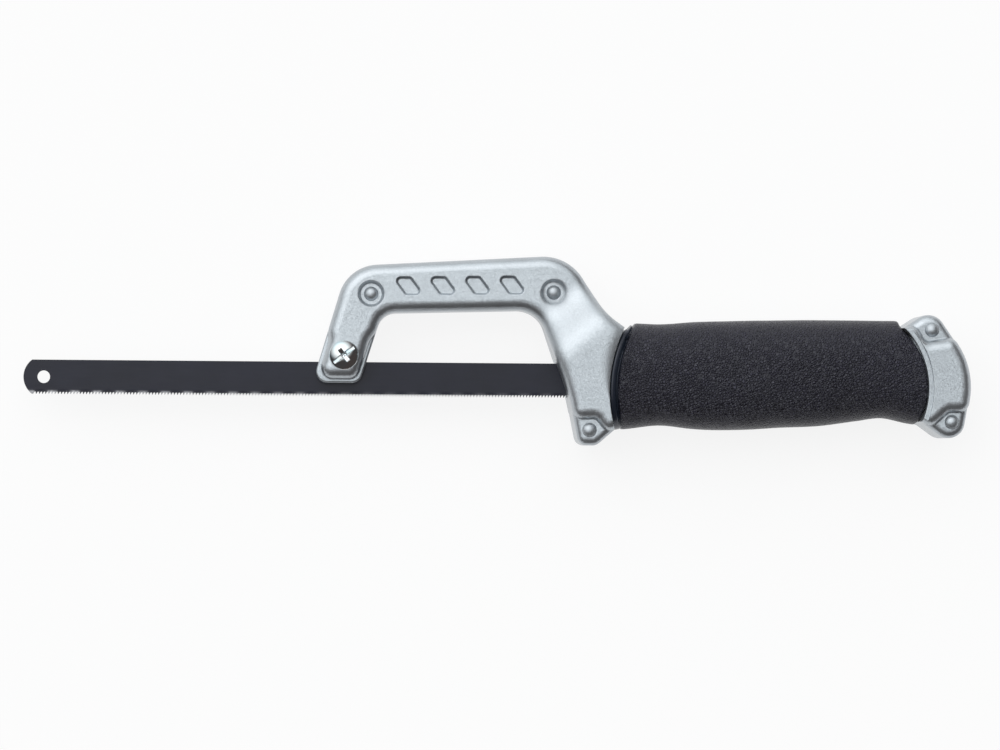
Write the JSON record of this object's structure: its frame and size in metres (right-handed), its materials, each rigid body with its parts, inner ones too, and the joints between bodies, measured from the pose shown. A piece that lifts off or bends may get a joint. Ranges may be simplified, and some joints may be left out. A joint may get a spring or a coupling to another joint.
{
  "type": "compact hacksaw",
  "caption": "Compact hacksaw: a hollow cast frame with bow, guard and sleeved grip clamps a long blade that slides out of the handle.",
  "frame": {"origin": "on the surface that the saw lies on, under the middle of its bounding box", "axes": "+X along the blade from its free tip to the pommel, +Y from the teeth towards the bow, +Z square to the saw's side, up when it lies flat"},
  "size_m": [0.3154, 0.063, 0.0286],
  "materials": {
    "casting": "silver metallic paint, fine sparkle",
    "rivet": "silver metallic paint over a domed head",
    "screw": "bright zinc plating",
    "nut": "zinc plating",
    "blade": "blue-black baked enamel, bare at the tooth tips",
    "sleeve": "matte, pebbled leather grain"
  },
  "bodies": {
    "frame": {"near_half": "casting", "far_half": "casting", "rivet_bow_front": "rivet", "rivet_bow_rear": "rivet", "rivet_guard": "rivet", "rivet_pommel_top": "rivet", "rivet_pommel_bottom": "rivet", "grip_sleeve": "sleeve"},
    "blade": {"blade": "blade"},
    "clamp_screw": {"clamp_screw": "screw"},
    "clamp_nut": {"clamp_nut": "nut"}
  },
  "joints": [
    {"name": "blade_slide", "type": "slide", "parent": "frame", "child": "blade", "axis": [-1, 0, 0], "range_m": [0, 0.1]},
    {"name": "screw_turn", "type": "hinge", "parent": "frame", "child": "clamp_screw", "pos_m": [-0.05133, -0.00199, 0.0223], "axis": [0, 0, 1], "range_deg": [0, 720]},
    {"name": "nut_travel", "type": "slide", "parent": "frame", "child": "clamp_nut", "axis": [0, 0, -1], "range_m": [0, 0.0014]}
  ],
  "couplings": [
    {"joint": "screw_turn", "follows": "nut_travel", "rad_per_m": 8975.9}
  ]
}
